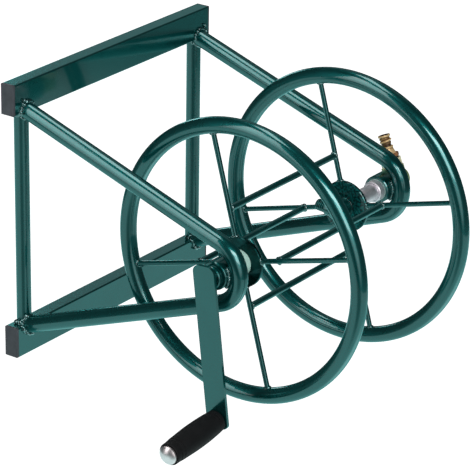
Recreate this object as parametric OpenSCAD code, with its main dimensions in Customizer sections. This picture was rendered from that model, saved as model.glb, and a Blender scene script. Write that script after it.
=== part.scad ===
// Wall mounted hose reel: two wall rails, two uprights, two bent tube arms and a
// crank-driven reel of two spoked tube wheels joined by cross bars. Water comes in
// through a brass swivel on the right end of the axle.
// Millimetres. The wall is the plane y = 0, the reel stands out towards -Y, +Z is up
// and +X runs along the rails away from the crank. The origin is the middle of the
// four wall fixings.

/* [Wall frame] */
// Overall length of a wall rail with its end plugs
rail_length = 503; // [440:1:560]
// Side shift of the rails from the middle of the fixings
rail_shift = -3.5; // [-8:0.5:8]
// Height of a wall rail
rail_height = 50.8; // [40:0.2:60]
// Depth of a wall rail from the wall
rail_depth = 25.4; // [20:0.2:32]
// Wall thickness of the rail tube
rail_wall = 2; // [1.5:0.1:3]
// Outer corner radius of the rail tube
rail_corner = 2.4; // [2.2:0.1:4]
// Distance between the rail centre lines
rail_spacing = 406.4; // [360:0.2:460]
// Thickness of the flange of an end plug
plug_flange = 4.5; // [3:0.5:6]
// Length of an end plug inside the rail
plug_depth = 14; // [8:1:24]
// Distance between the fixing slots, side to side
fixing_spacing = 406.4; // [300:0.2:420]
// Width of a fixing slot, also the clearance for the screw shank
fixing_width = 9; // [6:0.5:11]
// Length of a fixing slot end to end
fixing_length = 34; // [26:1:40]
// Diameter of the entry hole for the screw head
fixing_entry = 18; // [14:0.5:22]
// Diameter of an upright tube
upright_d = 23.5; // [19:0.5:28]
// Side distance of the uprights and arms from the middle
side_x = 221.7; // [190:0.1:235]

/* [Arms and bearings] */
// Diameter of the arm tube
arm_d = 26.9; // [22:0.1:32]
// Wall thickness of the arm and upright tubes
tube_wall = 2; // [1.5:0.1:3]
// Height at which the arm centre lines meet the rail fronts
arm_z = 180.3; // [165:0.1:195]
// Radius of the arm bend along the tube centre
bend_r = 52; // [46:0.5:64]
// Distance of the axle from the wall
axle_out = 394.5; // [360:0.5:430]
// Height of the axle above the middle of the rails
axle_z = 7; // [-10:0.5:15]
// Outer diameter of a bearing sleeve
sleeve_d = 45; // [40:0.5:50]
// Length of the left bearing sleeve
sleeve_left = 30; // [27:0.5:40]
// Length of the right bearing sleeve
sleeve_right = 35.5; // [27:0.5:44]

/* [Reel] */
// Radius of a rim along the tube centre
rim_r = 214; // [180:1:240]
// Diameter of the rim tube
rim_d = 26; // [20:0.5:30]
// Wall thickness of the rim tube
rim_wall = 1.6; // [1.2:0.1:2.5]
// Distance of the left rim from the middle
left_rim_x = 168.5; // [150:0.5:180]
// Distance of the right rim from the middle
right_rim_x = 113.5; // [90:0.5:150]
// Turn of the spokes from upright in the rest pose
spoke_turn = 15.5; // [-45:0.5:45]
// Diameter of a spoke
spoke_d = 8; // [6:0.5:10]
// Diameter of a cross bar
bar_d = 10; // [8:0.5:14]
// Radius at which the top cross bar sits
bar_top_r = 83.5; // [60:0.5:110]
// Radius at which the front cross bar sits
bar_front_r = 71; // [60:0.5:110]
// Radius at which the bottom cross bar sits
bar_bottom_r = 71; // [60:0.5:110]
// Radius at which the back cross bar sits
bar_back_r = 80; // [60:0.5:110]
// Diameter of the left hub plate
left_hub_d = 80; // [70:1:100]
// Diameter of the right hub plate
right_hub_d = 84; // [70:1:100]
// Thickness of the hub plates
hub_t = 6; // [4:0.5:8]

/* [Crank] */
// Diameter of the crank shaft
shaft_d = 19; // [16:0.5:22]
// Distance of the crank bar centre from the middle
crank_x = 259; // [258.5:0.5:266]
// Width of the crank bar
crank_w = 38.5; // [30:0.5:44]
// Thickness of the crank bar
crank_t = 5; // [4:0.5:7]
// Distance from the axle to the grip
crank_throw = 233; // [180:1:240]
// Length of bar above the axle before its round end
crank_top = 6; // [0:0.5:12]
// Length of bar below the grip axis
crank_end = 13; // [10:0.5:14]
// Swing of the crank bar from upright in the rest pose
crank_swing = 3.4; // [0:0.5:10]
// Lean of the crank bar towards the wheel
crank_lean = 4.5; // [0:0.5:4.5]
// Length of the grip
grip_length = 119; // [95:1:130]
// Largest diameter of the grip
grip_d = 40.8; // [32:0.2:42]
// Diameter of the grip spindle
spindle_d = 12; // [10:0.5:14]

/* [Water way] */
// Outer diameter of the water pipe that carries the right wheel
pipe_d = 26.9; // [25:0.1:28]
// Bore of the water pipe
pipe_bore = 20.9; // [18:0.1:22]
// Diameter of the collar on the water pipe
collar_d = 34; // [32:0.5:35]
// Side distance of the inlet from the middle
inlet_x = 260; // [254:0.5:262]
// Lean of the inlet towards the wall
inlet_lean = 21; // [0:1:40]
// Length of the inlet from the axle to its end
inlet_length = 75; // [72:0.5:80]
// Thread diameter of the inlet
inlet_d = 20.6; // [19:0.2:22]
// Diameter of the hose outlet
outlet_d = 19; // [18:0.2:21]
// Reach of the hose outlet from the axle
outlet_reach = 36; // [32:0.5:50]
// Upward tilt of the hose outlet in the rest pose
outlet_tilt = 5; // [0:1:20]

/* [Hidden] */
$fn = 96;
gap = 0.1;                       // space left at welded seats
run = 0.05;                      // radial running clearance
face_gap = 0.4;                  // side clearance of turning faces
rail_z = rail_spacing / 2;
tube_l = rail_length - 2 * plug_flange;
axle_y = -axle_out;
arm_r = arm_d / 2;
sleeve_r = sleeve_d / 2;
bend_y = axle_y + (bend_r - arm_r - sleeve_r - run);
bend_z = axle_z;
seat_y = -rail_depth;
// angles of the tangent points on the bend, seen along +X
up_d = norm([seat_y - bend_y, arm_z - bend_z]);
up_a = round(100 * (atan2(arm_z - bend_z, seat_y - bend_y) + acos(bend_r / up_d))) / 100;
lo_d = norm([seat_y - bend_y, -arm_z - bend_z]);
lo_a = round(100 * (atan2(-arm_z - bend_z, seat_y - bend_y) - acos(bend_r / lo_d))) / 100;
up_l = round(sqrt(up_d * up_d - bend_r * bend_r));
lo_l = round(sqrt(lo_d * lo_d - bend_r * bend_r));
cope = 22;                       // arm tube runs on past the rail front before it is cut to shape
shaft_r = shaft_d / 2;
pipe_r = pipe_d / 2;
left_sleeve_in = -side_x + sleeve_left / 2;
left_sleeve_out = -side_x - sleeve_left / 2;
right_sleeve_out = side_x + sleeve_left / 2;
right_sleeve_in = right_sleeve_out - sleeve_right;
left_bore = 16;
right_bore = 18;
swivel_in = right_sleeve_out + 2.5;
swivel_out = inlet_x + 15;
pipe_out = inlet_x + 5;
pipe_in = right_rim_x - hub_t / 2;
elbow_x = 88;
elbow_branch = 17;
green = [0.05, 0.25, 0.24];
black = [0.08, 0.08, 0.09];
zinc = [0.66, 0.64, 0.65];
brass = [0.78, 0.62, 0.32];
white = [0.88, 0.9, 0.86];
steel = [0.72, 0.73, 0.74];

// rectangle with round corners, centred
module round_rect(w, h, r) {
  square([w - 2 * r, h], center = true);
  square([w, h - 2 * r], center = true);
  for (x = [-1, 1], y = [-1, 1]) translate([x * (w / 2 - r), y * (h / 2 - r)]) circle(r = r, $fn = 48);
}

// rod along +X from x0 to x1 at the axle
module rod(x0, x1, r) {
  translate([x0, axle_y, axle_z]) rotate([0, 90, 0]) cylinder(r = r, h = x1 - x0);
}

// the same with both end edges broken by c
module bevelled_rod(x0, x1, r, c) {
  translate([x0, axle_y, axle_z]) rotate([0, 90, 0]) rotate_extrude()
    polygon([[0, 0], [r - c, 0], [r, c], [r, x1 - x0 - c], [r - c, x1 - x0], [0, x1 - x0]]);
}

// places children drawn in Y,Z with their own Z along +X
module side_view(x) {
  translate([x, 0, 0]) rotate([90, 0, 90]) children();
}

module rail(zc) {
  difference() {
    translate([rail_shift - tube_l / 2, -rail_depth / 2, zc]) rotate([90, 0, 90]) linear_extrude(height = tube_l)
      difference() {
        round_rect(rail_depth, rail_height, rail_corner);
        round_rect(rail_depth - 2 * rail_wall, rail_height - 2 * rail_wall, rail_corner - rail_wall + 0.2);
      }
    for (s = [-1, 1]) translate([s * fixing_spacing / 2, 1, zc]) rotate([90, 0, 0]) {
      cylinder(d = fixing_entry, h = rail_wall + 2);
      translate([0, 0, (rail_wall + 2) / 2]) cube([fixing_length - fixing_width, fixing_width, rail_wall + 2], center = true);
      for (e = [-1, 1]) translate([e * (fixing_length - fixing_width) / 2, 0, 0]) cylinder(d = fixing_width, h = rail_wall + 2);
    }
  }
}

module top_rail() { color(green) rail(rail_z); }
module bottom_rail() { color(green) rail(-rail_z); }

// section of a plug flange of width w, its outer edges rounded
module flange_section(w) {
  translate([-w / 2, gap / 2]) square([w, plug_flange - 2 - gap / 2]);
  translate([2 - w / 2, gap / 2]) square([w - 4, plug_flange - gap / 2]);
  for (e = [-1, 1]) translate([e * (w / 2 - 2), plug_flange - 2]) circle(r = 2, $fn = 48);
}
// end plug: flange outside, hollow tongue inside the rail
module plug(s, zc) {
  color(black) translate([rail_shift + s * tube_l / 2, -rail_depth / 2, zc]) rotate([90, 0, s * 90]) {
    intersection() {
      linear_extrude(height = plug_flange + 1) round_rect(rail_depth, rail_height, rail_corner);
      rotate([90, 0, 0]) linear_extrude(height = rail_height + 4, center = true) flange_section(rail_depth);
      rotate([90, 0, 90]) linear_extrude(height = rail_depth + 4, center = true) flange_section(rail_height);
    }
    difference() {
      translate([0, 0, -plug_depth]) linear_extrude(height = plug_depth + gap)
        round_rect(rail_depth - 2 * rail_wall - 0.3, rail_height - 2 * rail_wall - 0.3, 1);
      translate([0, 0, -plug_depth - 1]) linear_extrude(height = plug_depth)
        round_rect(rail_depth - 2 * rail_wall - 5, rail_height - 2 * rail_wall - 5, 1);
    }
  }
}
module plug_top_left() { plug(-1, rail_z); }
module plug_top_right() { plug(1, rail_z); }
module plug_bottom_left() { plug(-1, -rail_z); }
module plug_bottom_right() { plug(1, -rail_z); }

module upright(s) {
  color(green) translate([s * side_x, -rail_depth / 2, -rail_z + rail_height / 2 + gap]) difference() {
    cylinder(d = upright_d, h = rail_spacing - rail_height - 2 * gap);
    translate([0, 0, -1]) cylinder(d = upright_d - 2 * tube_wall, h = rail_spacing - rail_height + 2);
  }
}
module left_upright() { upright(-1); }
module right_upright() { upright(1); }

// solid path of an arm: upper leg, bend, lower leg; the tube draws in a hair round the bend
module arm_path(r, extra) {
  translate([bend_y, bend_z, 0]) {
    rotate([0, 0, up_a]) rotate_extrude(angle = lo_a + 360 - up_a) translate([bend_r, 0]) circle(r = r - 0.05, $fn = 72);
    rotate([0, 0, up_a]) translate([bend_r, 0.3, 0]) rotate([90, 0, 0]) cylinder(r = r, h = up_l + cope + extra);
    rotate([0, 0, lo_a]) translate([bend_r, -0.3, 0]) rotate([-90, 0, 0]) cylinder(r = r, h = lo_l + cope + extra);
  }
}
module arm(s) {
  color(green) difference() {
    side_view(s * side_x) difference() {
      arm_path(arm_r, 0);
      arm_path(arm_r - tube_wall, 5);
    }
    // cut square behind the seat, then shaped to the rail fronts and to the upright
    translate([s * side_x - 40, -19, -300]) cube([80, 60, 600]);
    for (z = [-1, 1]) translate([s * side_x - 40, -rail_depth - gap, z * rail_z - rail_height / 2 - gap]) cube([80, 40, rail_height + 2 * gap]);
    translate([s * side_x, -rail_depth / 2, -300]) cylinder(d = upright_d + 2 * gap, h = 600);
  }
}
module left_arm() { arm(-1); }
module right_arm() { arm(1); }

module left_sleeve() {
  color(green) difference() {
    bevelled_rod(left_sleeve_out, left_sleeve_in, sleeve_r, 1.2);
    rod(left_sleeve_out - 1, left_sleeve_in + 1, left_bore);
  }
}
module right_sleeve() {
  color(green) difference() {
    bevelled_rod(right_sleeve_in, right_sleeve_out, sleeve_r, 1.2);
    rod(right_sleeve_in - 1, right_sleeve_out + 1, right_bore);
  }
}
module left_bush() {
  color(white) difference() {
    rod(left_sleeve_out + 0.5, left_sleeve_in - 0.5, left_bore - run);
    rod(left_sleeve_out - 1, left_sleeve_in + 1, shaft_r + run);
  }
}
module right_bush() {
  color(white) difference() {
    rod(right_sleeve_in + 0.5, right_sleeve_out - 0.5, right_bore - run);
    rod(right_sleeve_in - 1, right_sleeve_out + 1, pipe_r + run);
  }
}

// rim tube, drilled under each spoke so the tube can breathe
module rim(x) {
  color(green) difference() {
    translate([x, axle_y, axle_z]) rotate([0, 90, 0]) rotate_extrude($fn = 180) translate([rim_r, 0]) difference() {
      circle(d = rim_d, $fn = 72);
      circle(d = rim_d - 2 * rim_wall, $fn = 72);
    }
    for (k = [0:3]) translate([x, axle_y, axle_z]) rotate([90 * k - spoke_turn, 0, 0])
      translate([0, 0, rim_r - rim_d / 2 - 2]) cylinder(d = 4, h = 6, $fn = 32);
  }
}
module left_rim() { rim(-left_rim_x); }
module right_rim() { rim(right_rim_x); }

// k counts round from the top towards the front
module spoke(x, k, hub_r) {
  color(green) translate([x, axle_y, axle_z]) rotate([90 * k - spoke_turn, 0, 0])
    translate([0, 0, hub_r + gap]) cylinder(d = spoke_d, h = rim_r - rim_d / 2 - hub_r - 2 * gap);
}
module left_spoke_top() { spoke(-left_rim_x, 0, left_hub_d / 2); }
module left_spoke_front() { spoke(-left_rim_x, 1, left_hub_d / 2); }
module left_spoke_bottom() { spoke(-left_rim_x, 2, left_hub_d / 2); }
module left_spoke_back() { spoke(-left_rim_x, 3, left_hub_d / 2); }
module right_spoke_top() { spoke(right_rim_x, 0, right_hub_d / 2); }
module right_spoke_front() { spoke(right_rim_x, 1, right_hub_d / 2); }
module right_spoke_bottom() { spoke(right_rim_x, 2, right_hub_d / 2); }
module right_spoke_back() { spoke(right_rim_x, 3, right_hub_d / 2); }

module cross_bar(k, r) {
  color(green) translate([0, axle_y, axle_z]) rotate([90 * k - spoke_turn, 0, 0])
    translate([-left_rim_x + spoke_d / 2 + gap, 0, r]) rotate([0, 90, 0])
      cylinder(d = bar_d, h = left_rim_x + right_rim_x - spoke_d - 2 * gap);
}
module cross_bar_top() { cross_bar(0, bar_top_r); }
module cross_bar_front() { cross_bar(1, bar_front_r); }
module cross_bar_bottom() { cross_bar(2, bar_bottom_r); }
module cross_bar_back() { cross_bar(3, bar_back_r); }

module left_hub() { color(green) bevelled_rod(-left_rim_x - hub_t / 2, -left_rim_x + hub_t / 2, left_hub_d / 2, 0.9); }
module right_hub() {
  color(green) difference() {
    bevelled_rod(right_rim_x - hub_t / 2, right_rim_x + hub_t / 2, right_hub_d / 2, 0.9);
    rod(right_rim_x - hub_t, right_rim_x + hub_t, pipe_r + gap);
  }
}

module crank_shaft() { color(steel) rod(-crank_x + crank_t / 2 + 0.75, -left_rim_x - hub_t / 2 - gap, shaft_r); }
module hub_spacer() {
  color(white) difference() {
    rod(left_sleeve_in + face_gap, -left_rim_x - hub_t / 2 - gap, 21);
    rod(left_sleeve_in - 1, -left_rim_x, shaft_r + run);
  }
}
module shaft_collar() {
  color(green) difference() {
    bevelled_rod(left_sleeve_out - 9.5, left_sleeve_out - face_gap, 18, 1.5);
    rod(left_sleeve_out - 12, left_sleeve_out + 1, shaft_r + run);
  }
}

// crank frame: -Z along the bar, -X out of its face
module crank_frame() {
  translate([-crank_x, axle_y, axle_z]) rotate([-crank_swing, 0, 0]) rotate([0, -crank_lean, 0]) children();
}
module crank_bar() {
  color(green) crank_frame() difference() {
    translate([-crank_t / 2, 0, 0]) rotate([90, 0, 90]) linear_extrude(height = crank_t) {
      for (e = [-1, 1]) translate([e * (crank_w / 2 - 12), crank_top + 6.5]) circle(r = 12);
      translate([12 - crank_w / 2, 0]) square([crank_w - 24, crank_top + 18.5]);
      translate([-crank_w / 2, -crank_throw - crank_end + 8]) square([crank_w, crank_throw + crank_end + crank_top - 1.5]);
      translate([8 - crank_w / 2, -crank_throw - crank_end]) square([crank_w - 16, 20]);
      for (e = [-1, 1]) translate([e * (crank_w / 2 - 8), 8 - crank_throw - crank_end]) circle(r = 8);
    }
    translate([-crank_t, 0, -crank_throw]) rotate([0, 90, 0]) cylinder(r = 4 + run, h = 2 * crank_t);
  }
}
// shouldered spindle riveted through the bar
module grip_spindle() {
  color(steel) crank_frame() translate([0, 0, -crank_throw]) rotate([0, -90, 0]) {
    translate([0, 0, crank_t / 2 + gap]) cylinder(d = spindle_d, h = grip_length + 1.9);
    translate([0, 0, -crank_t / 2 - 0.5]) cylinder(r = 4, h = crank_t + 1);
    translate([0, 0, -crank_t / 2 - 1.2]) cylinder(r = 7, h = 1.15);
  }
}
// domed cap pushed on the end of the spindle
module grip_cap() {
  color([0.85, 0.85, 0.86]) crank_frame() translate([-crank_t / 2 - grip_length - 2.2, 0, -crank_throw]) rotate([0, -90, 0]) {
    cylinder(d = 30, h = 2.5);
    intersection() {
      translate([0, 0, 2.5 + 6.5 - 20.56]) sphere(r = 20.56, $fn = 120);
      translate([0, 0, 2.4]) cylinder(d = 30, h = 12);
    }
  }
}
module grip_tube() {
  color(black) crank_frame() translate([-crank_t / 2 - 1, 0, -crank_throw]) rotate([0, -90, 0]) difference() {
    cylinder(d = 20, h = grip_length);
    translate([0, 0, -1]) cylinder(r = spindle_d / 2 + run, h = grip_length + 2);
  }
}
// barrel shaped grip with moulded ridges at both ends
module grip_foam() {
  g = grip_d / 2;
  color(black) crank_frame() translate([-crank_t / 2 - 1, 0, -crank_throw]) rotate([0, -90, 0]) rotate_extrude($fn = 120)
    polygon([[10 + run, 0.5], [g - 4, 0.5], [g - 2.7, 1.6], [g - 2.3, 6.4], [g - 3, 7], [g - 3, 7.4], [g - 2.1, 8], [g - 1.7, 12.9],
      [g - 2.4, 13.5], [g - 2.4, 13.9], [g - 1.5, 14.5], [g - 0.8, 26], [g - 0.2, 40], [g, 55], [g - 0.2, 70], [g - 0.8, 84],
      [g - 1.5, grip_length - 18], [g - 2.4, grip_length - 17.4], [g - 2.4, grip_length - 17], [g - 1.8, grip_length - 16.4],
      [g - 2.2, grip_length - 10.6], [g - 3.1, grip_length - 10], [g - 3.1, grip_length - 9.6], [g - 2.4, grip_length - 9],
      [g - 2.5, grip_length - 1], [g - 3.2, grip_length + 0.5], [10 + run, grip_length + 0.5]]);
}

// pipe with a groove for the screw that keeps the swivel on
module water_pipe() {
  color(zinc) difference() {
    rod(pipe_in, pipe_out, pipe_r);
    rod(pipe_in - 1, pipe_out + 1, pipe_bore / 2);
    difference() {
      rod(inlet_x - 8.75, inlet_x - 2.25, pipe_r + 3);
      rod(inlet_x - 9, inlet_x - 2, pipe_r - 1.4);
    }
  }
}
module pipe_collar() {
  color(zinc) difference() {
    rod(right_sleeve_in - face_gap - 12.5, right_sleeve_in - face_gap, collar_d / 2);
    rod(right_sleeve_in - 20, right_sleeve_in + 1, pipe_r + run);
    // chamfered edge towards the wheel
    translate([right_sleeve_in - face_gap - 12.5, axle_y, axle_z]) rotate([0, 90, 0]) rotate_extrude()
      polygon([[collar_d / 2 - 1.2, 0], [collar_d / 2 - 1.2, -1], [collar_d / 2 + 1, -1], [collar_d / 2 + 1, 2.2]]);
  }
}

// outlet frame: +Z along the outlet, from the axle
module outlet_frame() {
  translate([elbow_x, axle_y, axle_z]) rotate([outlet_tilt - 90, 0, 0]) children();
}
module outlet_elbow() {
  color(green) difference() {
    union() {
      rod(elbow_x, pipe_in - gap, 14);
      translate([elbow_x, axle_y, axle_z]) sphere(r = 14);
      outlet_frame() cylinder(r = 11.5, h = elbow_branch);
    }
    rod(elbow_x, right_rim_x, pipe_bore / 2 - 2);
    outlet_frame() cylinder(r = 7, h = 40);
  }
}
module outlet_nipple() {
  color(green) outlet_frame() difference() {
    translate([0, 0, elbow_branch + gap]) cylinder(d = outlet_d, h = outlet_reach - elbow_branch - gap);
    translate([0, 0, elbow_branch - 5]) cylinder(r = 7, h = 60);
  }
}

// inlet frame: +Z along the inlet, from the axle
module inlet_frame() {
  translate([inlet_x, axle_y, axle_z]) rotate([-inlet_lean, 0, 0]) children();
}
module swivel_body() {
  color(brass) difference() {
    union() {
      rod(swivel_in, swivel_out, 17);
      inlet_frame() cylinder(r = 18.5, h = 22);
    }
    rod(swivel_in - 1, pipe_out + 0.5, pipe_r + run);
    rod(swivel_in, swivel_out - 5, 8);
    inlet_frame() cylinder(r = 7, h = 40);
    for (x = [swivel_in + 3, pipe_out - 3]) translate([x, axle_y, axle_z]) rotate([0, 90, 0]) translate([0, 0, -1.1]) cylinder(r = pipe_r + 2.1, h = 2.2);
    inlet_frame() rotate([180, 0, 0]) translate([-5.5, 0, 12]) cylinder(r = 3 + run, h = 10);
  }
}
module swivel_seals() {
  color(black) for (x = [swivel_in + 3, pipe_out - 3]) translate([x, axle_y, axle_z]) rotate([0, 90, 0])
    rotate_extrude() translate([pipe_r + run + 1, 0]) circle(r = 1, $fn = 32);
}
module swivel_screw() {
  color(steel) inlet_frame() rotate([180, 0, 0]) translate([-5.5, 0, pipe_r - 1]) difference() {
    cylinder(r = 3, h = 4.4);
    translate([0, 0, 2]) cylinder(r = 1.75, h = 4, $fn = 6);
  }
}
module inlet_barrel() {
  color(brass) inlet_frame() difference() {
    translate([0, 0, 22 + gap]) cylinder(r = 17, h = 13);
    cylinder(r = 7, h = 60);
  }
}
module inlet_washer() {
  color(black) inlet_frame() difference() {
    translate([0, 0, 35.2]) cylinder(r = 13.4, h = 2);
    cylinder(r = 7, h = 60);
  }
}
// hexagon, cone, neck and threaded end in one turned piece
module inlet_fitting() {
  color(brass) inlet_frame() difference() {
    union() {
      translate([0, 0, 37.3]) cylinder(d = 34, h = 6.2, $fn = 6);
      translate([0, 0, 43.4]) cylinder(r1 = 11.5, r2 = 7.6, h = 12.1);
      translate([0, 0, 55.4]) cylinder(r = 7.6, h = inlet_length - 15 - 55.3);
      translate([0, 0, inlet_length - 15]) cylinder(d = inlet_d, h = 15);
    }
    cylinder(r = 5.5, h = 100);
  }
}

top_rail();
bottom_rail();
plug_top_left();
plug_top_right();
plug_bottom_left();
plug_bottom_right();
left_upright();
right_upright();
left_arm();
right_arm();
left_sleeve();
right_sleeve();
left_bush();
right_bush();
left_rim();
right_rim();
left_spoke_top();
left_spoke_front();
left_spoke_bottom();
left_spoke_back();
right_spoke_top();
right_spoke_front();
right_spoke_bottom();
right_spoke_back();
cross_bar_top();
cross_bar_front();
cross_bar_bottom();
cross_bar_back();
left_hub();
right_hub();
crank_shaft();
hub_spacer();
shaft_collar();
crank_bar();
grip_spindle();
grip_cap();
grip_tube();
grip_foam();
water_pipe();
pipe_collar();
outlet_elbow();
outlet_nipple();
swivel_body();
swivel_seals();
swivel_screw();
inlet_barrel();
inlet_washer();
inlet_fitting();
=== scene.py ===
import math

import bpy
from mathutils import Matrix, Vector, noise


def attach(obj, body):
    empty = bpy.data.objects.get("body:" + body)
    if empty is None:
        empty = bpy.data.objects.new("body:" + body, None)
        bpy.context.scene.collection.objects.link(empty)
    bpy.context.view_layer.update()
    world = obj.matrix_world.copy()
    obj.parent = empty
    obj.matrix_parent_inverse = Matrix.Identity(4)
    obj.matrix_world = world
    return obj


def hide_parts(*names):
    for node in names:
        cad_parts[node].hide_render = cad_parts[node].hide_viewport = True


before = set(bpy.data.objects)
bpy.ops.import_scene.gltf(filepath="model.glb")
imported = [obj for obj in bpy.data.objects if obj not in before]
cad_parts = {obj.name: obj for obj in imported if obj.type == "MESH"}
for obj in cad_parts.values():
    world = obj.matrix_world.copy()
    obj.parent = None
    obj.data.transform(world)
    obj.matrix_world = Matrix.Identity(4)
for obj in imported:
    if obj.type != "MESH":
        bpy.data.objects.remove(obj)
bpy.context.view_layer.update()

MM = 0.001
scene = bpy.context.scene

# sizes of the part that the added detail follows, in millimetres
SIDE_X = 221.7
RAIL_FRONT = -25.4
RAIL_EDGE = 177.8
UPRIGHT_Y, UPRIGHT_R = -12.7, 11.75
ARM_R, ARM_Z = 13.45, 180.3
BEND_Y, BEND_Z, BEND_R = -378.5, 7.0, 52.0
AXLE_Y, AXLE_Z = -394.5, 7.0
SLEEVE_R = 22.5
RIM_R, RIM_T = 214.0, 13.0
LEFT_X, RIGHT_X = -168.5, 113.5
SPOKE_TURN, SPOKE_R = 15.5, 4.0
BAR_RAD, BAR_R = (83.5, 71.0, 71.0, 80.0), 5.0
LEFT_HUB, RIGHT_HUB = 40.0, 42.0


# ---------------------------------------------------------------- materials

def new_mat(name):
    m = bpy.data.materials.new(name)
    m.use_nodes = True
    nt = m.node_tree
    return m, nt, nt.nodes["Principled BSDF"]


def coords(nt, scale=None):
    tc = nt.nodes.new("ShaderNodeTexCoord")
    if scale is None:
        return tc.outputs["Object"]
    mp = nt.nodes.new("ShaderNodeMapping")
    mp.inputs["Scale"].default_value = scale
    nt.links.new(tc.outputs["Object"], mp.inputs["Vector"])
    return mp.outputs["Vector"]


def noise_tex(nt, vec, scale, detail=2.0, rough=0.5, distortion=0.0):
    n = nt.nodes.new("ShaderNodeTexNoise")
    n.inputs["Scale"].default_value = scale
    n.inputs["Detail"].default_value = detail
    n.inputs["Roughness"].default_value = rough
    n.inputs["Distortion"].default_value = distortion
    nt.links.new(vec, n.inputs["Vector"])
    return n.outputs["Fac"]


def voronoi(nt, vec, scale, out="Distance"):
    n = nt.nodes.new("ShaderNodeTexVoronoi")
    n.inputs["Scale"].default_value = scale
    nt.links.new(vec, n.inputs["Vector"])
    return n.outputs[out]


def ramp(nt, fac, stops):
    n = nt.nodes.new("ShaderNodeValToRGB")
    el = n.color_ramp.elements
    while len(el) < len(stops):
        el.new(0.5)
    for e, (p, c) in zip(el, stops):
        e.position = p
        e.color = (*c, 1.0)
    nt.links.new(fac, n.inputs["Fac"])
    return n.outputs["Color"]


def to_range(nt, fac, a, b, c, d):
    n = nt.nodes.new("ShaderNodeMapRange")
    n.inputs["From Min"].default_value = a
    n.inputs["From Max"].default_value = b
    n.inputs["To Min"].default_value = c
    n.inputs["To Max"].default_value = d
    nt.links.new(fac, n.inputs["Value"])
    return n.outputs["Result"]


def mix_col(nt, fac, a, b, mode="MIX"):
    n = nt.nodes.new("ShaderNodeMix")
    n.data_type = "RGBA"
    n.blend_type = mode
    nt.links.new(fac, n.inputs[0])
    for sock, v in ((n.inputs[6], a), (n.inputs[7], b)):
        if isinstance(v, tuple):
            sock.default_value = (*v, 1.0)
        else:
            nt.links.new(v, sock)
    return n.outputs[2]


def bump(nt, height, strength, distance, normal=None):
    n = nt.nodes.new("ShaderNodeBump")
    n.inputs["Strength"].default_value = strength
    n.inputs["Distance"].default_value = distance
    nt.links.new(height, n.inputs["Height"])
    if normal is not None:
        nt.links.new(normal, n.inputs["Normal"])
    return n.outputs["Normal"]


def gloss_enamel(name, wave=1.0, peel=1.0, coat=0.36, coat_ior=2.2, gloss=0.0):
    """Sprayed gloss enamel: slow colour drift, orange peel, runs and a few dust nibs."""
    m, nt, b = new_mat(name)
    co = coords(nt)
    drift = noise_tex(nt, co, 9.0, 3.0, 0.55)
    col = ramp(nt, drift, [(0.30, (0.0048, 0.089, 0.0862)), (0.72, (0.0062, 0.105, 0.1020))])
    nib = voronoi(nt, co, 140.0)
    nib_mask = to_range(nt, nib, 0.05, 0.09, 1.0, 0.0)
    col = mix_col(nt, nib_mask, col, (0.004, 0.055, 0.052))
    nt.links.new(col, b.inputs["Base Color"])
    haze = noise_tex(nt, co, 34.0, 4.0, 0.6)
    nt.links.new(to_range(nt, haze, 0.3, 0.72, 0.25 - gloss, 0.32 - gloss), b.inputs["Roughness"])
    b.inputs["Metallic"].default_value = 0.8
    b.inputs["IOR"].default_value = 1.52
    b.inputs["Specular Tint"].default_value = (0.0, 1.0, 1.0, 1.0)
    b.inputs["Coat Weight"].default_value = coat
    b.inputs["Coat IOR"].default_value = coat_ior
    b.inputs["Coat Roughness"].default_value = 0.06
    nrm = bump(nt, noise_tex(nt, co, 20.0, 1.0, 0.4), 0.012 * wave, 0.0004)
    nrm = bump(nt, noise_tex(nt, co, 320.0, 1.0, 0.4), 0.003 * peel, 0.00005, nrm)
    nrm = bump(nt, nib_mask, 0.02, 0.00003, nrm)
    nt.links.new(nrm, b.inputs["Normal"])
    return m


def speckled_enamel(name, painted_light_level, grain):
    """The same enamel where it went on thick over rough plate: coarse peel. painted_light_level scales the colour as
    painted light and shade: under 1 it is painted shade, over 1 a painted brightening.
    """
    m, nt, b = new_mat(name)
    co = coords(nt)
    drift = noise_tex(nt, co, 15.0 + 200.0 * grain, 3.0, 0.6)
    edge = 0.19 - 0.09 * grain
    # flecks of dark and light plate tone, the whole colour scaled by painted_light_level as painted light and shade
    nt.links.new(ramp(nt, drift, [(0.51 - edge, (0.0012 * painted_light_level / (1.0 + grain), 0.021 * painted_light_level / (1.0 + grain), 0.0204 * painted_light_level / (1.0 + grain))), (0.51 + edge, (0.0058 * painted_light_level, 0.086 * painted_light_level, 0.0836 * painted_light_level))]), b.inputs["Base Color"])
    nt.links.new(to_range(nt, noise_tex(nt, co, 120.0, 3.0, 0.6), 0.3, 0.7, 0.12 + 0.12 * grain, 0.18 + 0.18 * grain), b.inputs["Roughness"])
    b.inputs["Metallic"].default_value = 0.8
    b.inputs["IOR"].default_value = 1.52
    b.inputs["Specular Tint"].default_value = (0.0, 1.0, 1.0, 1.0)
    b.inputs["Coat Weight"].default_value = 0.02 + 0.3 * grain
    b.inputs["Coat IOR"].default_value = 1.8
    b.inputs["Coat Roughness"].default_value = 0.06
    nrm = bump(nt, noise_tex(nt, co, 150.0, 2.0, 0.5), 0.6 * grain, 0.0009)
    nrm = bump(nt, noise_tex(nt, co, 40.0, 1.0, 0.5), 0.3 * grain, 0.0006, nrm)
    nt.links.new(nrm, b.inputs["Normal"])
    return m


def moulded_plastic(name, dark, light, rough, grain):
    m, nt, b = new_mat(name)
    co = coords(nt)
    cloud = noise_tex(nt, co, 55.0, 4.0, 0.6)
    nt.links.new(ramp(nt, cloud, [(0.32, dark), (0.70, light)]), b.inputs["Base Color"])
    fine = noise_tex(nt, co, grain, 2.0, 0.6)
    nt.links.new(to_range(nt, fine, 0.3, 0.7, rough - 0.07, rough + 0.07), b.inputs["Roughness"])
    b.inputs["Specular IOR Level"].default_value = 0.35
    nt.links.new(bump(nt, fine, 0.35, 0.00025), b.inputs["Normal"])
    return m


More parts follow.
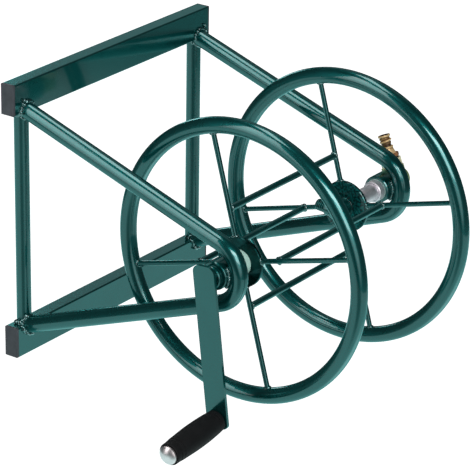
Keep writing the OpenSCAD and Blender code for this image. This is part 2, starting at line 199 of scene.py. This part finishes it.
def foam_rubber():
    """Moulded foam grip: closed matt skin with fine pores and rubbed patches."""
    m, nt, b = new_mat("foam_grip")
    co = coords(nt)
    wear = noise_tex(nt, co, 45.0, 4.0, 0.65)
    col = ramp(nt, wear, [(0.32, (0.0034, 0.0036, 0.0042)), (0.72, (0.0068, 0.0071, 0.0080))])
    pores = voronoi(nt, co, 900.0)
    # pore centres are painted darker: painted shade in the pores
    col = mix_col(nt, to_range(nt, pores, 0.05, 0.35, 1.0, 0.0), col, (0.0018, 0.0018, 0.0021))
    nt.links.new(col, b.inputs["Base Color"])
    nt.links.new(to_range(nt, wear, 0.3, 0.7, 0.62, 0.78), b.inputs["Roughness"])
    b.inputs["Specular IOR Level"].default_value = 0.22
    nrm = bump(nt, pores, 0.35, 0.00022)
    nrm = bump(nt, noise_tex(nt, co, 160.0, 2.0, 0.5), 0.25, 0.0004, nrm)
    nt.links.new(nrm, b.inputs["Normal"])
    return m


def metal(name, dark, light, r0, r1, grain=300.0, bump_d=0.00006, spangle=None, streak=None, metallic=1.0):
    m, nt, b = new_mat(name)
    co = coords(nt)
    cloud = noise_tex(nt, co, 70.0, 4.0, 0.6)
    col = ramp(nt, cloud, [(0.30, dark), (0.72, light)])
    fine = noise_tex(nt, coords(nt, streak) if streak else co, grain, 3.0, 0.6)
    if spangle:
        cell = voronoi(nt, co, spangle, "Color")
        col = mix_col(nt, to_range(nt, cell, 0.0, 1.0, 0.10, 0.42), col, light)
        fine = to_range(nt, cell, 0.0, 1.0, 0.25, 0.75)
    nt.links.new(col, b.inputs["Base Color"])
    b.inputs["Metallic"].default_value = metallic
    nt.links.new(to_range(nt, fine, 0.3, 0.7, r0, r1), b.inputs["Roughness"])
    nt.links.new(bump(nt, noise_tex(nt, co, grain, 2.0, 0.5), 0.35, bump_d), b.inputs["Normal"])
    return m


def turned_stub(name, origin, axis):
    """Turned brass coloured by distance from the axis: a painted highlight on the ridges, painted shade in the grooves,
    darker on the hexagon.
    """
    m, nt, b = new_mat(name)
    co = coords(nt)
    off = nt.nodes.new("ShaderNodeVectorMath")
    off.operation = "SUBTRACT"
    off.inputs[1].default_value = origin
    nt.links.new(co, off.inputs[0])
    arm = nt.nodes.new("ShaderNodeVectorMath")
    arm.operation = "CROSS_PRODUCT"
    arm.inputs[1].default_value = axis
    nt.links.new(off.outputs["Vector"], arm.inputs[0])
    rad = nt.nodes.new("ShaderNodeVectorMath")
    rad.operation = "LENGTH"
    nt.links.new(arm.outputs["Vector"], rad.inputs[0])
    t = to_range(nt, rad.outputs["Value"], 0.006, 0.016, 0.0, 1.0)
    # radial colour ramp: dark at the thread root as painted shade in the grooves, bright at the crests as painted
    # highlight, darker over the hexagon
    col = ramp(nt, t, [(0.20, (0.070, 0.032, 0.010)), (0.29, (0.46, 0.25, 0.09)), (0.38, (0.95, 0.66, 0.33)), (0.54, (1.0, 0.74, 0.40)), (0.62, (0.50, 0.22, 0.08)), (0.80, (0.34, 0.14, 0.05))])
    cloud = noise_tex(nt, co, 160.0, 4.0, 0.6)
    col = mix_col(nt, to_range(nt, cloud, 0.35, 0.75, 0.0, 0.35), col, (0.20, 0.13, 0.06))
    nt.links.new(col, b.inputs["Base Color"])
    b.inputs["Metallic"].default_value = 0.25
    nt.links.new(to_range(nt, cloud, 0.3, 0.7, 0.30, 0.44), b.inputs["Roughness"])
    nt.links.new(bump(nt, noise_tex(nt, co, 380.0, 2.0, 0.5), 0.3, 0.00003), b.inputs["Normal"])
    return m


ENAMEL = gloss_enamel("gloss_green_enamel")
ENAMEL_FLAT = gloss_enamel("gloss_green_enamel_flat", wave=10.0, peel=1.0, gloss=0.08)
ENAMEL_WELD = gloss_enamel("gloss_green_enamel_weld", wave=4.0, peel=3.0, coat=0.8, coat_ior=2.3, gloss=0.10)
# the left plate's colour is darkened as painted shade (0.55) and the right plate's brightened as painted light (1.4):
# one enamel, shaded and lit
PLATE_LEFT = speckled_enamel("enamel_on_left_plate", 0.55, 0.2)
PLATE_RIGHT = speckled_enamel("enamel_on_right_plate", 1.4, 1.2)
PLUG = moulded_plastic("grey_plug_plastic", (0.046, 0.048, 0.056), (0.068, 0.071, 0.082), 0.55, 700.0)
NYLON = moulded_plastic("white_nylon", (0.40, 0.62, 0.55), (0.52, 0.74, 0.66), 0.42, 380.0)
CORE = moulded_plastic("black_core_plastic", (0.010, 0.010, 0.011), (0.018, 0.018, 0.019), 0.45, 500.0)
RUBBER = moulded_plastic("seal_rubber_black", (0.006, 0.006, 0.006), (0.012, 0.012, 0.012), 0.6, 600.0)
FOAM = foam_rubber()
ZINC = metal("galvanised_zinc", (0.72, 0.68, 0.72), (0.92, 0.88, 0.92), 0.46, 0.62, 420.0, 0.00006, spangle=420.0)
STEEL = metal("bright_turned_steel", (0.55, 0.55, 0.56), (0.70, 0.70, 0.71), 0.22, 0.34, 500.0, 0.00004, streak=(4.0, 0.3, 0.3))
CHROME = metal("polished_cap_chrome", (0.84, 0.76, 0.77), (0.94, 0.85, 0.86), 0.30, 0.38, 120.0, 0.00003)
BRASS = metal("turned_brass", (0.72, 0.50, 0.25), (0.90, 0.68, 0.38), 0.30, 0.42, 380.0, 0.00003)
BRASS_STUB = turned_stub("turned_brass_stub", (0.260, -0.3945, 0.007), (0.0, math.sin(math.radians(21)), math.cos(math.radians(21))))
# the barrel's pale, non-metallic colour is a painted highlight: brightened to stand in for bright reflections in its
# shaded spot
BRASS_PAINTED_BRIGHT = metal("cast_brass_painted_bright", (0.96, 0.88, 0.54), (1.0, 0.95, 0.66), 0.36, 0.50, 300.0, 0.00006, metallic=0.0)
# the swivel body's olive green is brass colour with a painted reflection of the green enamel around it
BRASS_CAST = metal("cast_brass_body", (0.26, 0.34, 0.12), (0.40, 0.48, 0.22), 0.40, 0.55, 260.0, 0.00008, metallic=0.4)

BY_SLOT = {
    "green_paint": ENAMEL, "plug_plastic": PLUG, "nylon": NYLON, "zinc_pipe": ZINC, "bright_steel": STEEL,
    "chrome_cap": CHROME, "grip_core": CORE, "foam": FOAM, "brass": BRASS, "seal_rubber": RUBBER,
}
OWN = {
    "top_rail": ENAMEL_FLAT, "bottom_rail": ENAMEL_FLAT, "crank_bar": ENAMEL_FLAT,
    "left_hub": PLATE_LEFT, "right_hub": PLATE_RIGHT,
    "inlet_barrel": BRASS_PAINTED_BRIGHT, "swivel_body": BRASS_CAST,
}
for name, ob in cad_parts.items():
    for s in ob.material_slots:
        slot = s.material.name.split(".")[0] if s.material else "green_paint"
        s.material = OWN.get(name) or BY_SLOT.get(slot, ENAMEL)


# ---------------------------------------------------------------- pieces in mesh code

def piece(name, verts, faces, mat, body):
    me = bpy.data.meshes.new(name)
    me.from_pydata([tuple(c * MM for c in v) for v in verts], [], faces)
    me.validate()
    for p in me.polygons:
        p.use_smooth = True
    me.materials.append(mat)
    ob = bpy.data.objects.new(name, me)
    scene.collection.objects.link(ob)
    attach(ob, body)
    return ob


def smooth_loop(pts, n, closed=True):
    for _ in range(n):
        k = len(pts)
        out = []
        for i, p in enumerate(pts):
            if not closed and i in (0, k - 1):
                out.append(p)
            else:
                out.append((pts[i - 1] + p * 2 + pts[(i + 1) % k]) / 4)
        pts = out
    return pts


def resample(pts, step, closed):
    src = pts + [pts[0]] if closed else pts
    cum = [0.0]
    for a, b in zip(src, src[1:]):
        cum.append(cum[-1] + (b - a).length)
    n = max(8, round(cum[-1] / step))
    out, j = [], 0
    for i in range(n if closed else n + 1):
        s = cum[-1] * i / n
        while j < len(cum) - 2 and cum[j + 1] < s:
            j += 1
        t = (s - cum[j]) / max(1e-9, cum[j + 1] - cum[j])
        out.append(src[j].lerp(src[j + 1], min(1.0, t)))
    return out


def bead(verts, faces, pts, r, closed=True, seed=0.0, lump=0.28, ripple=0.10, pitch=3.2, sides=10):
    """A weld bead along pts: a tube with ripples and uneven lumps, blind ended where the run stops."""
    pts = resample(pts, 0.9, closed)
    k = len(pts)
    base = len(verts)
    s = 0.0
    for i, p in enumerate(pts):
        a = pts[i - 1] if closed or i else p
        b = pts[(i + 1) % k] if closed or i < k - 1 else p
        t = (b - a).normalized()
        up = Vector((0.31, 0.52, 0.79))
        u = (up - t * up.dot(t)).normalized()
        v = t.cross(u)
        if i:
            s += (p - pts[i - 1]).length
        end = 1.0
        if not closed:
            q = min(i, k - 1 - i) / 4.0
            end = math.sqrt(max(0.02, 1 - (1 - min(1.0, q)) ** 2))
        wob = noise.noise(Vector((p.x * 0.17, p.y * 0.17, p.z * 0.17 + seed)))
        rr = r * end * (1 + lump * wob + ripple * math.sin(2 * math.pi * s / pitch))
        for j in range(sides):
            ang = 2 * math.pi * j / sides
            d = u * math.cos(ang) + v * math.sin(ang)
            f = 1 + 0.5 * lump * noise.noise((p + d * r) * 0.3 + Vector((seed, 7.0, 0.0)))
            verts.append(tuple(p + d * (rr * f)))
    last = k if closed else k - 1
    for i in range(last):
        for j in range(sides):
            a = base + i * sides + j
            b = base + i * sides + (j + 1) % sides
            c = base + ((i + 1) % k) * sides + (j + 1) % sides
            d = base + ((i + 1) % k) * sides + j
            faces.append((a, b, c, d))
    if not closed:
        faces.append(tuple(base + j for j in reversed(range(sides))))
        faces.append(tuple(base + (k - 1) * sides + j for j in range(sides)))


def drop(verts, faces, c, r, seed=0.0, flat=0.85):
    """A lump of weld metal: a small uneven ball sitting on the joint."""
    base = len(verts)
    rings, sides = 10, 16
    for i in range(rings + 1):
        t = math.pi * i / rings
        for j in range(sides):
            a = 2 * math.pi * j / sides
            d = Vector((math.sin(t) * math.cos(a), math.sin(t) * math.sin(a), flat * math.cos(t)))
            k = 1 + 0.30 * noise.noise(d * 1.3 + Vector((seed, 2.0 * seed, 3.0)))
            verts.append(tuple(c + d * (r * k)))
    for i in range(rings):
        for j in range(sides):
            faces.append((base + i * sides + j, base + i * sides + (j + 1) % sides, base + (i + 1) * sides + (j + 1) % sides, base + (i + 1) * sides + j))


def arm_dirs():
    """Unit vectors of the two arm legs, from the bend towards the wall."""
    out = []
    for sz in (1, -1):
        dy, dz = RAIL_FRONT - BEND_Y, sz * ARM_Z - BEND_Z
        dist = math.hypot(dy, dz)
        a = math.atan2(dz, dy) + sz * math.acos(BEND_R / dist)
        tan = Vector((0.0, BEND_Y + BEND_R * math.cos(a), BEND_Z + BEND_R * math.sin(a)))
        d = (Vector((0.0, RAIL_FRONT, sz * ARM_Z)) - tan).normalized()
        out.append((sz, d))
    return out


def arm_seam(side, sz, d):
    """Closed seam where an arm's end meets the rail front and the upright, on the arm's outer surface."""
    x0 = side * SIDE_X
    e1 = Vector((1.0, 0.0, 0.0))
    e2 = e1.cross(d)
    if e2.z < 0:
        e2 = -e2
    pts = []
    for i in range(120):
        a = 2 * math.pi * i / 120
        q = Vector((x0, RAIL_FRONT, sz * ARM_Z)) + (e1 * math.cos(a) + e2 * math.sin(a)) * (ARM_R + 0.5)
        t = (RAIL_FRONT - 0.6 - q.y) / d.y
        p = q + d * t
        if sz * p.z < RAIL_EDGE - 0.5:
            dx = q.x - x0
            if abs(dx) < UPRIGHT_R:
                yy = UPRIGHT_Y - math.sqrt(UPRIGHT_R ** 2 - dx * dx) - 0.4
            else:
                yy = UPRIGHT_Y - 2.0
            yy = min(yy, -14.5)
            p = q + d * ((yy - q.y) / d.y)
        pts.append(p)
    return smooth_loop(pts, 6)


# welds of the wall frame
for side, word in ((-1, "left"), (1, "right")):
    v, f = [], []
    for sz, d in arm_dirs():
        seam = arm_seam(side, sz, d)
        n = len(seam)
        bead(v, f, seam, 2.6, seed=side * 3.1 + sz, lump=0.8, ripple=0.18, pitch=7.0)
        # heavier run where the torch started, over the arm's end
        top = sorted(range(n), key=lambda i: -sz * seam[i].z)[0]
        run = [seam[(top + i) % n] + Vector((0.0, -0.9, 0.9 * sz)) for i in range(-18, 19)]
        bead(v, f, run, 3.4, closed=False, seed=side * 5.7 + sz * 2.2, lump=0.6, ripple=0.14, pitch=7.0)
        # wide run on the outer side, spread over the rail front
        out = sorted(range(n), key=lambda i: -side * seam[i].x)[0]
        run = [seam[(out + i) % n] + Vector((side * 3.2, 0.0, 0.0)) for i in range(-15, 16)]
        bead(v, f, run, 3.6, closed=False, seed=side * 1.9 + sz * 4.1, lump=0.7, ripple=0.16, pitch=7.5)
        for k, (dx, dy, dz, r) in enumerate(((14.0, 2.0, 2.6, 5.2), (10.5, -12.6, 15.2, 3.6), (13.2, -6.2, 0.4, 3.6), (10.0, -14.6, 21.0, 3.0))):
            if k < 3 or sz > 0:
                up = dz if sz < 0 else (-dz if k != 3 and k != 1 else dz + 1.0)
                drop(v, f, Vector((side * (SIDE_X + dx), UPRIGHT_Y + dy, sz * RAIL_EDGE + up)), r, seed=side + 3.3 * sz + k)
    piece(f"weld_arm_ends_{word}", v, f, ENAMEL_WELD, "frame")

v, f = [], []
for side in (-1, 1):
    for sz in (-1, 1):
        pts = []
        for i in range(61):
            a = math.radians(-90 - 128 + 256 * i / 60)
            pts.append(Vector((side * SIDE_X + (UPRIGHT_R + 0.2) * math.cos(a), UPRIGHT_Y + (UPRIGHT_R + 0.2) * math.sin(a), sz * (RAIL_EDGE - 0.5))))
        bead(v, f, pts, 1.5, closed=False, seed=side + 2 * sz, lump=0.35)
piece("weld_upright_ends", v, f, ENAMEL_WELD, "frame")

v, f = [], []
for side in (-1, 1):
    for u in (-8.6, 8.6):
        pts = []
        for i in range(41):
            a = math.radians(-44 + 88 * i / 40)
            r = SLEEVE_R + 1.2 + 1.6 * (1 - math.cos(a))
            pts.append(Vector((side * SIDE_X + u, AXLE_Y - r * math.cos(a), AXLE_Z + r * math.sin(a))))
        bead(v, f, pts, 3.1, closed=False, seed=side * 2 + u, lump=0.4, ripple=0.14, pitch=4.0)
piece("weld_sleeves", v, f, ENAMEL_WELD, "frame")


def reel_point(x, k, rad, tang=0.0):
    """Point of the reel at rest: k counts the spokes, rad along the spoke, tang across it."""
    a = math.radians(90 * k - SPOKE_TURN)
    up = Vector((0.0, -math.sin(a), math.cos(a)))
    across = Vector((0.0, math.cos(a), math.sin(a)))
    return Vector((x, AXLE_Y, AXLE_Z)) + up * rad + across * tang


# welds of the reel
for x, word, hub in ((LEFT_X, "left", LEFT_HUB), (RIGHT_X, "right", RIGHT_HUB)):
    v, f = [], []
    for k in range(4):
        rim_ring, hub_ring = [], []
        for i in range(40):
            a = 2 * math.pi * i / 40
            dx, dt = (SPOKE_R + 0.5) * math.cos(a), (SPOKE_R + 0.5) * math.sin(a)
            inner = RIM_R - math.sqrt(RIM_T ** 2 - dx * dx)
            rim_ring.append(reel_point(x + dx, k, math.sqrt(inner ** 2 - dt * dt) - 0.3, dt))
            hub_ring.append(reel_point(x + dx * 0.86, k, math.sqrt((hub + 0.4) ** 2 - dt * dt) + 0.2, dt))
        bead(v, f, rim_ring, 1.5, seed=x + k, lump=0.4, ripple=0.12, pitch=2.6)
        bead(v, f, hub_ring, 1.5, seed=x + k + 0.5, lump=0.4, ripple=0.12, pitch=2.6)
    piece(f"weld_spokes_{word}", v, f, ENAMEL_WELD, "reel")

v, f = [], []
for x, sgn in ((LEFT_X, 1), (RIGHT_X, -1)):
    for k in range(4):
        ring = []
        for i in range(40):
            a = 2 * math.pi * i / 40
            dr, dt = (BAR_R + 0.2) * math.cos(a), (BAR_R + 0.2) * math.sin(a)
            dt2 = max(-SPOKE_R, min(SPOKE_R, dt))
            ring.append(reel_point(x + sgn * (math.sqrt(max(0.0, SPOKE_R ** 2 - dt2 * dt2)) * 0.55 + 2.4), k, BAR_RAD[k] + dr, dt * 0.94))
        bead(v, f, smooth_loop(ring, 3), 1.9, seed=x * 0.3 + k, lump=0.55, ripple=0.14, pitch=3.0)
piece("weld_cross_bars", v, f, ENAMEL_WELD, "reel")

v, f = [], []
for x, r, w in ((RIGHT_X + 3.4, 13.9, 2.0), (RIGHT_X - 3.4, 14.4, 1.5)):
    bead(v, f, [Vector((x, AXLE_Y + r * math.cos(2 * math.pi * i / 60), AXLE_Z + r * math.sin(2 * math.pi * i / 60))) for i in range(60)], w, seed=x, lump=0.4)
piece("weld_right_hub", v, f, PLATE_RIGHT, "reel")

CRANK = Matrix.Translation((-259.0, AXLE_Y, AXLE_Z)) @ Matrix.Rotation(math.radians(-3.4), 4, "X") @ Matrix.Rotation(math.radians(-4.5), 4, "Y")
v, f = [], []
bead(v, f, [CRANK @ Vector((2.9, 10.0 * math.cos(2 * math.pi * i / 60), 10.0 * math.sin(2 * math.pi * i / 60))) for i in range(60)], 1.7, seed=4.2, lump=0.35)
piece("weld_crank_bar", v, f, ENAMEL_WELD, "reel")


def turned(name, place, rings, bore, mat, body, node, sides=96):
    """A turned piece: rings is a list of (height, radius function of angle), closed through its bore."""
    verts, faces = [], []
    for h, fn in rings:
        for j in range(sides):
            a = 2 * math.pi * j / sides
            r = fn(a)
            verts.append(tuple(place @ Vector((r * math.cos(a), r * math.sin(a), h))))
    h0, h1 = rings[0][0], rings[-1][0]
    inner = [(h1, bore + 0.7), (h1 - 0.7, bore), (h0, bore)]
    for h, r in inner:
        for j in range(sides):
            a = 2 * math.pi * j / sides
            verts.append(tuple(place @ Vector((r * math.cos(a), r * math.sin(a), h))))
    n = len(rings) + len(inner)
    for i in range(n):
        for j in range(sides):
            a, b = i * sides + j, i * sides + (j + 1) % sides
            c, d = ((i + 1) % n) * sides + (j + 1) % sides, ((i + 1) % n) * sides + j
            faces.append((a, b, c, d))
    ob = piece(name, verts, faces, mat, body)
    es = ob.modifiers.new("edges", "EDGE_SPLIT")
    es.split_angle = math.radians(38)
    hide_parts(node)
    return ob


def round_at(r):
    return lambda a: r


def thread_at(h, h0, h1, crest, root, pitch):
    fade = min(1.0, max(0.0, (h - h0) / (0.8 * pitch)), max(0.0, (h1 - h) / (0.8 * pitch)))

    def fn(a):
        w = abs(((h / pitch - a / (2 * math.pi)) % 1.0) - 0.5) * 2
        w = min(1.0, max(0.0, (w - 0.18) / 0.64))
        return root + (crest - root) * w * fade
    return fn


def hexagon_at(h, h0, h1, corner):
    flat = corner * math.cos(math.radians(30))
    edge = min(h - h0, h1 - h)

    def fn(a):
        b = (a + math.radians(30)) % math.radians(60) - math.radians(30)
        return min(flat / math.cos(b), flat * 1.02 + 1.7 * edge)
    return fn


INLET = Matrix.Translation((260.0, AXLE_Y, AXLE_Z)) @ Matrix.Rotation(math.radians(-21), 4, "X")
rings = [(37.3, round_at(13.0))]
rings += [(37.3 + 6.2 * i / 10, hexagon_at(37.3 + 6.2 * i / 10, 37.3, 43.5, 17.0)) for i in range(11)]
rings += [(43.5, round_at(11.6)), (44.2, round_at(11.3)), (53.2, round_at(8.9)), (53.4, round_at(9.9)), (54.2, round_at(10.4)), (55.4, round_at(10.3)), (56.0, round_at(9.4)), (56.2, round_at(7.7)), (59.6, round_at(7.6)), (60.0, round_at(8.4))]
rings += [(60.2 + 11.4 * i / 80, thread_at(60.2 + 11.4 * i / 80, 60.2, 71.6, 10.3, 8.1, 5.6)) for i in range(81)]
rings += [(71.9, round_at(8.7)), (72.1, round_at(9.9)), (72.6, round_at(10.2)), (74.4, round_at(10.2)), (75.0, round_at(9.6))]
turned("inlet_thread_fitting", INLET, rings, 5.5, BRASS_STUB, "swivel", "inlet_fitting")

OUTLET = Matrix.Translation((88.0, AXLE_Y, AXLE_Z)) @ Matrix.Rotation(math.radians(5 - 90), 4, "X")
rings = [(17.1, round_at(8.7)), (18.4, round_at(8.7))]
for i in range(5):
    z = 18.6 + 3.3 * i
    rings += [(z, round_at(8.7)), (z + 0.2, round_at(9.4)), (z + 0.6, round_at(9.5)), (z + 3.1, round_at(8.75))]
rings += [(35.5, round_at(8.6)), (36.0, round_at(8.0))]
turned("outlet_ribbed_stub", OUTLET, rings, 7.0, ENAMEL, "reel", "outlet_nipple")


# ---------------------------------------------------------------- camera

RIGHT = Vector((0.5877406561852478, -0.8089081829911652, 0.015115308692373375))
DOWN = Vector((-0.30412277212503713, -0.23820655245682004, -0.9223703040761985))
AHEAD = Vector((0.7497134522882172, 0.5375176181824813, -0.3860110744544971))
cam_data = bpy.data.cameras.new("camera")
cam_data.sensor_fit = "HORIZONTAL"
cam_data.sensor_width = 36.0
cam_data.lens = 217.2516
cam_data.clip_start = 0.05
cam_data.clip_end = 200.0
cam = bpy.data.objects.new("camera", cam_data)
rot = Matrix((RIGHT, -DOWN, -AHEAD)).transposed()
cam.matrix_world = Matrix.Translation((-3.357496724, -2.669526807, 1.689552295)) @ rot.to_4x4()
scene.collection.objects.link(cam)
scene.camera = cam


# ---------------------------------------------------------------- floor, light

def floor_bowl():
    """Wide pale studio floor that sweeps up all round."""
    prof = [(0.0, -4.0), (3.0, -4.0), (7.0, -4.0), (10.0, -3.6), (12.5, -2.2), (14.0, 0.5), (14.5, 5.0), (13.0, 10.0), (8.0, 14.0), (0.0, 15.5)]
    n = 64
    verts, faces = [], []
    for r, z in prof:
        for j in range(n):
            a = 2 * math.pi * j / n
            verts.append((max(r, 0.001) * math.cos(a), max(r, 0.001) * math.sin(a) - 0.3, z))
    for i in range(len(prof) - 1):
        for j in range(n):
            faces.append((i * n + j, i * n + (j + 1) % n, (i + 1) * n + (j + 1) % n, (i + 1) * n + j))
    me = bpy.data.meshes.new("studio_floor")
    me.from_pydata(verts, [], faces)
    for p in me.polygons:
        p.use_smooth = True
    m, nt, b = new_mat("studio_white")
    cloud = noise_tex(nt, coords(nt), 0.4, 1.0)
    nt.links.new(ramp(nt, cloud, [(0.3, (0.93, 0.93, 0.93)), (0.7, (0.96, 0.96, 0.96))]), b.inputs["Base Color"])
    b.inputs["Roughness"].default_value = 0.9
    b.inputs["Emission Color"].default_value = (1.0, 1.0, 1.0, 1.0)
    b.inputs["Emission Strength"].default_value = 1.05
    me.materials.append(m)
    ob = bpy.data.objects.new("studio_floor", me)
    scene.collection.objects.link(ob)
    ob.visible_diffuse = False
    ob.visible_glossy = False
    ob.visible_transmission = False
    ob.visible_shadow = False


floor_bowl()

world = bpy.data.worlds.new("studio")
scene.world = world
world.use_nodes = True
wn = world.node_tree
bg = wn.nodes["Background"]
tc = wn.nodes.new("ShaderNodeTexCoord")
lean = wn.nodes.new("ShaderNodeVectorMath")
lean.operation = "DOT_PRODUCT"
lean.inputs[1].default_value = (0.0224, -0.0181, 1.0)
wn.links.new(tc.outputs["Generated"], lean.inputs[0])
sky = to_range(wn, lean.outputs["Value"], -1.0, 1.0, 0.0, 1.0)
base = ramp(wn, sky, [(0.0, (0.64, 0.86, 0.85)), (0.3415, (0.64, 0.86, 0.85)), (0.3495, (0.12, 0.16, 0.16)), (0.46, (0.06, 0.08, 0.08)), (1.0, (0.02, 0.02, 0.02))])


def glow(az, el, spread, power):
    """Soft light patch of the studio round one direction."""
    d = Vector((math.cos(math.radians(el)) * math.cos(math.radians(az)), math.cos(math.radians(el)) * math.sin(math.radians(az)), math.sin(math.radians(el))))
    dot = wn.nodes.new("ShaderNodeVectorMath")
    dot.operation = "DOT_PRODUCT"
    dot.inputs[1].default_value = d
    wn.links.new(tc.outputs["Generated"], dot.inputs[0])
    n = wn.nodes.new("ShaderNodeMapRange")
    n.interpolation_type = "SMOOTHSTEP"
    n.inputs["From Min"].default_value = math.cos(math.radians(spread))
    n.inputs["From Max"].default_value = 1.0
    n.inputs["To Min"].default_value = 0.0
    n.inputs["To Max"].default_value = power
    wn.links.new(dot.outputs["Value"], n.inputs["Value"])
    return n.outputs["Result"]


def add(a, b):
    n = wn.nodes.new("ShaderNodeVectorMath")
    n.operation = "ADD"
    wn.links.new(a, n.inputs[0])
    wn.links.new(b, n.inputs[1])
    return n.outputs["Vector"]


shade = wn.nodes.new("ShaderNodeMath")
shade.operation = "SUBTRACT"
shade.inputs[0].default_value = 1.0
wn.links.new(glow(-146, -21, 32, 0.72), shade.inputs[1])
dim = wn.nodes.new("ShaderNodeVectorMath")
dim.operation = "SCALE"
wn.links.new(base, dim.inputs[0])
wn.links.new(shade.outputs["Value"], dim.inputs["Scale"])
total = dim.outputs["Vector"]
for lobe in ((-48, -60, 26, 1.0), (-122, 10, 30, 1.2), (38, 21, 14, 0.30), (20, 44, 30, 0.20), (-139, 27, 20, 0.40)):
    total = add(total, glow(*lobe))
wn.links.new(total, bg.inputs["Color"])
bg.inputs["Strength"].default_value = 1.0

CENTRE = Vector((0.0, -0.30, 0.0))


def softbox(name, direction, distance, width, height, radiance, turn=0.0):
    d = Vector(direction).normalized()
    li = bpy.data.lights.new(name, "AREA")
    li.shape = "RECTANGLE"
    li.size = width
    li.size_y = height
    li.energy = radiance * math.pi * width * height
    ob = bpy.data.objects.new(name, li)
    q = d.to_track_quat("Z", "Y")
    ob.matrix_world = Matrix.Translation(CENTRE + d * distance) @ q.to_matrix().to_4x4() @ Matrix.Rotation(turn, 4, "Z")
    scene.collection.objects.link(ob)


def toward(az, el):
    return (math.cos(math.radians(el)) * math.cos(math.radians(az)), math.cos(math.radians(el)) * math.sin(math.radians(az)), math.sin(math.radians(el)))


softbox("front_key", toward(-121, 40), 2.7, 1.65, 0.58, 8.0)
softbox("front_key_low", toward(-120, 25), 2.7, 1.40, 0.78, 4.1)
for el, radiance in ((43, 3.0), (28, 2.7), (13, 1.8), (-1, 1.15)):
    softbox(f"side_tall_{el + 1}", toward(158, el), 2.7, 1.05, 0.72, radiance)
softbox("side_high", toward(147, 54), 2.7, 0.55, 0.55, 3.2)
softbox("back_right", toward(55, 15), 2.7, 0.46, 0.62, 4.0)
softbox("top_strip", (-0.025, 0.14, 1.0), 2.5, 2.0, 0.52, 4.2, math.radians(15))
scene.view_settings.view_transform = "Standard"
scene.view_settings.look = "None"
